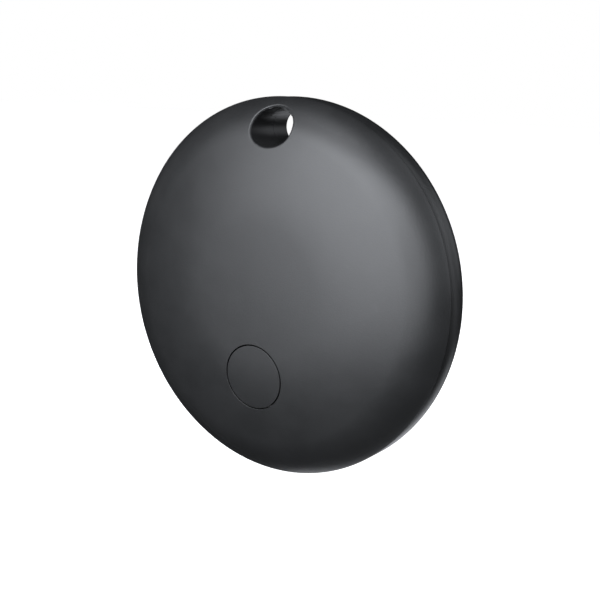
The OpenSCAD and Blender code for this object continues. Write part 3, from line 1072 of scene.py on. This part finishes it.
@dataclass
class RearCover(HoledShell):
    """Pull-off rear cover: flat back, rounded lobe and the keyring hole's far half."""

    lip: float = 0.08
    end_gap: float = 1.0
    mouth_r: float = 17.06
    step: float = 0.25
    rows: int = 60
    join: float = math.radians(50)
    lobe_near: float = 0.02

    def lobe_profile(self) -> np.ndarray:
        """Profile round the lobe from the back to the groove, then in along the cover's front."""
        centre_r, centre_y, size = self.shape.lobe
        ledge = self.shape.waist[1] + self.shape.shell_gap
        end = math.pi / 2 + math.acos((centre_y - ledge) / size)
        swing = np.linspace(self.join, math.pi - (end - math.pi / 2), 34)
        arc = np.stack([centre_r + size * np.sin(swing), centre_y + size * np.cos(swing)], 1)
        arc[-1, 1] = ledge
        return np.concatenate([arc, np.array([[arc[-1, 0] - self.ledge_w, ledge]])])

    def hole_end(self, at: np.ndarray) -> np.ndarray:
        """Depth where the cover's own wall of the keyring hole ends."""
        waist = self.shape.waist[1]
        inside = np.linalg.norm(at, axis=1) < self.mouth_r
        return np.where(inside, waist + self.end_gap, waist + self.shape.shell_gap)

    def sunk_body(self, points: np.ndarray) -> np.ndarray:
        """Moves the moulded body's back, lobe and hole wall under the skin."""
        shape = self.shape
        out = self.sunk_hole(points, Side.BACK)
        centre_r, centre_y, size = shape.lobe
        r, away = from_axis(points)
        flat = (r <= centre_r + 0.001) & (np.abs(points[:, 1] - shape.back_y) < 0.002)
        arm = np.stack([r - centre_r, points[:, 1] - centre_y], 1)
        long = np.linalg.norm(arm, axis=1)
        on_lobe = (r > centre_r) & (np.abs(long - size) < self.lobe_near)
        unit = arm / np.maximum(long, 1e-9)[:, None]
        out[:, 1] -= np.where(flat, self.sink, 0.0) + np.where(on_lobe, unit[:, 1] * self.sink, 0.0)
        out[:, [0, 2]] -= away * np.where(on_lobe, unit[:, 0] * self.sink, 0.0)[:, None]
        return out

    def build(self) -> bpy.types.Mesh:
        """Builds the back as one patch round the keyring hole, then turns the lobe's profile."""
        shape, skin = self.shape, Skin()
        profile = self.lobe_profile()
        count = int(2 * math.pi * profile[0, 0] / self.step)
        angles = np.linspace(0, 2 * math.pi, count + 1)[:-1]
        outer = turned(profile, angles)
        outer[0, :, 1] = -shape.back(np.full(count, profile[0, 0]))[0]
        wall = self.hole_rows(Side.BACK, self.hole, outer[0], self.lip, self.hole_end)
        face, face_in = self.pierced_face(skin, Side.BACK, outer[0], wall, self.rows)
        inner = turned(profile + profile_inward(profile, -1.0) * self.skin, angles)
        inner[0] = face[-1] + face_in[-1] * self.skin
        skin.grid(outer)
        skin.grid(inner)
        skin.grid(np.stack([outer[-1], inner[-1]]))
        skin.copy_node("rear_cover", self.sunk_body)
        return skin.mesh("rear_cover_skin")

    def place(self, finish: MouldedPlastic) -> None:
        """Builds the cover, dresses it and puts it in the scene."""
        mesh, made = self.build(), finish.material()
        add_piece("rear_cover_skin", mesh, made, "cover", "cover_plastic", "rear_cover")


@dataclass
class PushButton:
    """Round cap that follows the dome, with the flange that presses the switch."""

    shape: TagShape
    cap_r: float = 3.2
    lip: float = 0.025
    columns: int = 160
    rows: int = 26

    def build(self) -> bpy.types.Mesh:
        """Builds the cap as rings about its own axis.

        The face's rings run from the centre to the lip, each point at the dome's depth; below the
        lip a profile is turned: side and flange, closed on the axis at both ends.

        Returns:
            The mesh.
        """
        low, high = node_box("button_cap")
        z, flange_r = (low[2] + high[2]) / 2, (high[0] - low[0]) / 2
        seat = node_box("button_seal")[1][1] + 0.01
        angles = np.linspace(0, 2 * math.pi, self.columns + 1)[:-1]
        way = np.stack([np.cos(angles), np.sin(angles)], 1)
        at, out = Round(self.cap_r, z).edge(way)
        arc, _ = rounded_lip(self.shape, Side.FRONT, at, -out, self.lip)
        centre = np.array([0.0, 0.0, z])
        share = np.sin(np.linspace(0.04, 1, self.rows) * math.pi / 2)[:, None, None]
        face = centre + (arc[0] - centre) * share
        face[..., 1] = self.shape.front(np.linalg.norm(face[..., [0, 2]], axis=-1))[0]
        tip = np.array([[0.0, float(self.shape.front(np.array([abs(z)]))[0][0]), z]])
        corners = [
            (self.cap_r, seat, 0.0), (flange_r, seat, 0.04), (flange_r, high[1], 0.04),
            (0.2, high[1], 0.0),
        ]
        below = turned(rounded([(self.cap_r, seat - 0.2, 0.0), *corners], 4), angles, z)
        skin = Skin()
        skin.fan(face[0], tip)
        skin.grid(np.concatenate([face, arc[1:], below]))
        skin.fan(below[-1], np.array([[0.0, high[1], z]]))
        return skin.mesh("button_cap_skin")

    def place(self, finish: MouldedPlastic) -> None:
        """Builds the cap, dresses it and puts it in the scene."""
        mesh, made = self.build(), finish.material()
        add_piece("button_cap_skin", mesh, made, "button", "button_plastic", "button_cap")


@dataclass
class CoinCell:
    """Coin cell: drawn steel can with a rolled edge and a coined ring, cap and gasket."""

    roll: float = 0.42
    coin_r: float = 8.3
    coin_depth: float = 0.035
    floor: float = 0.9
    wall: float = 0.25
    columns: int = 200

    def build(self) -> bpy.types.Mesh:
        """Turns the can's profile: flat back, coined ring, rolled edge, side and crimp."""
        low, high = node_box("cell_can")
        r, crimp, back = (high[0] - low[0]) / 2, low[1], high[1]
        inner = r - self.wall
        under = node_box("cell_cap")[0][1] + self.floor
        ring = [(self.coin_r - 0.25, back - self.coin_depth, 0.1), (self.coin_r, back, 0.12)]
        corners = [
            (0.3, back - self.coin_depth, 0.0), *ring, (r, back, self.roll), (r, crimp, 0.1),
            (inner, crimp, 0.1), (inner, under, 0.05), (0.3, under, 0.0),
        ]
        profile = rounded(corners, 8)
        angles = np.linspace(0, 2 * math.pi, self.columns + 1)[:-1]
        grid = turned(profile, angles)
        skin = Skin()
        skin.fan(grid[0], np.array([[0.0, profile[0, 1], 0.0]]))
        skin.grid(grid)
        skin.fan(grid[-1], np.array([[0.0, under, 0.0]]))
        return skin.mesh("cell_can_skin")

    def place(self, can: WorkedMetal, cap: WorkedMetal, gasket: MouldedPlastic) -> None:
        """Builds the can and dresses the cap and gasket, which keep their shapes."""
        mesh, made = self.build(), can.material()
        add_piece("cell_can_skin", mesh, made, "tag_body", "cell_steel", "cell_can")
        dress("cell_cap", cap.material())
        dress("cell_gasket", gasket.material())


@dataclass
class Inside:
    """Every inner piece that keeps its own shape, by finish."""

    def place(self) -> None:
        """Dresses the pieces."""
        table = (
            (SoftFoam("soft_rubber", (0.02, 0.02, 0.021), 9000.0, 6e-6, 0.75),
             ("button_seal", "cover_gasket")),
            (SoftFoam("white_foam", (0.55, 0.54, 0.5)), ("buzzer_adhesive",)),
            (SoftFoam("dark_foam", (0.035, 0.035, 0.038), 4200.0), ("cell_pad",)),
            (WorkedMetal("gilt", (0.9, 0.66, 0.28), roughness=0.22, tarnish=0.12),
             ("test_pads", "buzzer_contacts")),
            (WorkedMetal("nickel_plate", (0.7, 0.67, 0.61), roughness=0.25),
             ("negative_contact", "positive_contact")),
            (WorkedMetal("screw_steel", (0.5, 0.5, 0.52), Weave.TURNED, 0.3), ("tray_screws",)),
            (WorkedMetal("brass_sheet", (0.76, 0.55, 0.22), roughness=0.3, tarnish=0.4),
             ("buzzer_plate",)),
            (WorkedMetal("silver_paste", (0.8, 0.79, 0.76), roughness=0.5, depth=3e-6),
             ("buzzer_electrode",)),
            (WorkedMetal("tinned_lid", (0.62, 0.62, 0.63), roughness=0.33),
             ("crystal_fast", "crystal_slow")),
            (MouldedPlastic("tray_plastic", (0.022, 0.022, 0.024), 0.5, fineness=3800.0),
             ("battery_tray",)),
            (MouldedPlastic("switch_plastic", (0.5, 0.49, 0.46), 0.5, fineness=6000.0),
             ("switch_body",)),
            (MouldedPlastic("plunger_plastic", (0.03, 0.03, 0.03), 0.4, fineness=6000.0),
             ("switch_plunger",)),
            (FiredBody("chip_moulding", (0.018, 0.018, 0.02), (0.05, 0.05, 0.05), 0.5),
             ("radio_chip",)),
            (FiredBody("aerial_ceramic", (0.55, 0.6, 0.68), (0.8, 0.82, 0.85), 0.35),
             ("chip_antenna",)),
            (FiredBody("capacitor_ceramic", (0.28, 0.19, 0.1), (0.4, 0.3, 0.18), 0.4),
             ("capacitors",)),
            (FiredBody("resistor_glaze", (0.02, 0.02, 0.022), (0.06, 0.06, 0.06), 0.25),
             ("resistors",)),
            (FiredBody("coil_ferrite", (0.07, 0.07, 0.075), (0.12, 0.12, 0.12), 0.55),
             ("inductors",)),
            (FiredBody("piezo_ceramic", (0.62, 0.59, 0.5), (0.75, 0.72, 0.65), 0.45),
             ("buzzer_ceramic",)),
            (BoardLaminate("board_laminate"), ("main_board",)),
        )
        for finish, nodes in table:
            material = finish.material()
            for node in nodes:
                dress(node, material)


# ---------------------------------------------------------------- studio


@dataclass(frozen=True)
class SoftBox:
    """Square area light: its place by angles about the tag, its size and its power."""

    name: str
    azimuth: float
    elevation: float
    watts: float
    size: float = 0.11
    distance: float = 0.3
    tint: Colour = (0.96, 0.99, 1.045)

    def place(self) -> None:
        """Puts the light in the scene, aimed at the tag's centre."""
        a, e = math.radians(self.azimuth), math.radians(self.elevation)
        way = Vector((math.sin(a) * math.cos(e), -math.cos(a) * math.cos(e), math.sin(e)))
        data = bpy.data.lights.new(self.name, "AREA")
        data.shape, data.size, data.energy, data.color = "SQUARE", self.size, self.watts, self.tint
        light = bpy.data.objects.new(self.name, data)
        bpy.context.scene.collection.objects.link(light)
        light.location = way * self.distance
        light.rotation_euler = way.to_track_quat("Z", "Y").to_euler()
        light.visible_camera = False


@dataclass(frozen=True)
class LampWall:
    """Curved wall of soft boxes in front of the tag, brightest above its middle."""

    azimuths: tuple[float, ...] = (-50, -32, -14, 4, 22, 40, 60, 75, 90, 105)
    elevations: tuple[float, ...] = (-8, 12, 32, 58)
    watts: tuple[tuple[float, ...], ...] = (
        (0.005, 0.071, 0.169, 0.14, 0.119, 0.066, 0.0, 0.0, 0.0, 0.025),
        (0.01, 0.178, 0.188, 0.234, 0.082, 0.148, 0.026, 0.0, 0.065, 0.0),
        (0.065, 0.067, 0.291, 0.198, 0.254, 0.107, 0.0, 0.0, 0.058, 0.055),
        (0.028, 0.024, 0.065, 0.07, 0.012, 0.0, 0.0, 0.0, 0.057, 0.0),
    )

    def boxes(self) -> list[SoftBox]:
        """Gives the wall's soft boxes, leaving out the dark ones."""
        return [
            SoftBox(f"wall_{row}_{column}", azimuth, elevation, power)
            for row, (elevation, powers) in enumerate(zip(self.elevations, self.watts))
            for column, (azimuth, power) in enumerate(zip(self.azimuths, powers))
            if power > 0
        ]


@dataclass
class Studio:
    """Pale floor, white surround, soft boxes and the camera."""

    azimuth: float = math.radians(34.5694)
    elevation: float = math.radians(10.8324)
    roll: float = math.radians(2.1573)
    distance: float = 0.104396
    lens: float = 62.05
    shift: tuple[float, float] = (0.03722, -0.02232)
    floor_drop: float = 0.004
    ambient: float = 0.015
    wall: LampWall = LampWall()
    others: tuple[SoftBox, ...] = (
        SoftBox("far_left", -85, 20, 0.018, 0.2),
        SoftBox("far_right", 120, 20, 0.03, 0.2),
        SoftBox("through_hole", 138, 20, 0.11, 0.2, 0.34),
        SoftBox("back_low", 190, -52, 0.3, 0.24, 0.34),
        SoftBox("back_right", 150, -45, 0.2, 0.24, 0.34),
    )

    def camera(self) -> None:
        """Places the camera: back along the view direction, then turned about it by the roll."""
        a, e, roll = self.azimuth, self.elevation, self.roll
        back = Vector((math.sin(a) * math.cos(e), -math.cos(a) * math.cos(e), math.sin(e)))
        right = Vector((math.cos(a), math.sin(a), 0))
        up = back.cross(right)
        side = right * math.cos(roll) + up * math.sin(roll)
        top = up * math.cos(roll) - right * math.sin(roll)
        data = bpy.data.cameras.new("camera")
        data.lens, data.sensor_width, data.clip_start = self.lens, 36.0, 0.005
        data.shift_x, data.shift_y = self.shift
        camera = bpy.data.objects.new("camera", data)
        bpy.context.scene.collection.objects.link(camera)
        turn = Matrix((side, top, back)).transposed()
        camera.matrix_world = Matrix.Translation(back * self.distance) @ turn.to_4x4()
        bpy.context.scene.camera = camera

    def floor(self) -> None:
        """Lays a large pale floor a little below the tag; it shows but casts no light back."""
        low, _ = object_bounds()
        half, z = 1.5, low[2] - self.floor_drop
        mesh = bpy.data.meshes.new("floor")
        corners = [(-half, -half, z), (half, -half, z), (half, half, z), (-half, half, z)]
        mesh.from_pydata(corners, [], [(0, 1, 2, 3)])
        material, g, shader = open_material(
            "pale_floor", {"Roughness": 0.9, "Emission Strength": 1.0, "Specular IOR Level": 0.1}
        )
        mottled = g.span(g.noise(g.place(), 3.0, 3.0), 0.3, 0.7)
        body = g.mix(mottled, (0.9, 0.9, 0.9, 1), (0.94, 0.94, 0.94, 1))
        glow = g.mix(mottled, (0.98, 0.98, 0.98, 1), (1, 1, 1, 1))
        g.feed(shader, {"Base Color": body, "Emission Color": glow})
        mesh.materials.append(material)
        floor = bpy.data.objects.new("floor", mesh)
        bpy.context.scene.collection.objects.link(floor)
        floor.visible_diffuse = floor.visible_glossy = False
        floor.visible_shadow = False
        floor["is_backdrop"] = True

    def surround(self) -> None:
        """Makes the surround white to the camera and dim to everything else."""
        world = bpy.data.worlds.new("surround")
        world.use_nodes = True
        bpy.context.scene.world = world
        tree = world.node_tree
        seen = tree.nodes["Background"]
        seen.inputs["Color"].default_value = (1, 1, 1, 1)
        dim = tree.nodes.new("ShaderNodeBackground")
        dim.inputs["Color"].default_value = (0.96, 0.98, 1, 1)
        dim.inputs["Strength"].default_value = self.ambient
        mix, path = tree.nodes.new("ShaderNodeMixShader"), tree.nodes.new("ShaderNodeLightPath")
        tree.links.new(path.outputs["Is Camera Ray"], mix.inputs[0])
        tree.links.new(dim.outputs[0], mix.inputs[1])
        tree.links.new(seen.outputs[0], mix.inputs[2])
        tree.links.new(mix.outputs[0], tree.nodes["World Output"].inputs[0])

    def place(self) -> None:
        """Builds the whole studio."""
        bpy.context.scene.view_settings.view_transform = "Standard"
        self.camera()
        self.floor()
        self.surround()
        boxes = [*self.wall.boxes(), *self.others]
        for box in boxes:
            box.place()
        log.info("studio: %d soft boxes", len(boxes))


def main() -> None:
    """Builds every sub-assembly in order."""
    logging.basicConfig(level=logging.INFO, format="%(name)s: %(message)s")
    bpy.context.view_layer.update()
    shape = TagShape.measured()
    charcoal: Colour = (0.0098, 0.01, 0.0103)
    FrontShell(shape).place(MouldedPlastic("shell_plastic", charcoal))
    PushButton(shape).place(MouldedPlastic("button_plastic", charcoal))
    RearCover(shape).place(MouldedPlastic("cover_plastic", charcoal))
    Inside().place()
    CoinCell().place(
        WorkedMetal("cell_steel", (0.66, 0.66, 0.67), Weave.TURNED, 0.24, tarnish=0.12),
        WorkedMetal("cap_steel", (0.6, 0.6, 0.62), Weave.TURNED, 0.28),
        MouldedPlastic("cell_gasket_plastic", (0.03, 0.03, 0.035), 0.5),
    )
    Studio().place()
    bpy.context.view_layer.update()


if __name__ == "__main__":
    main()
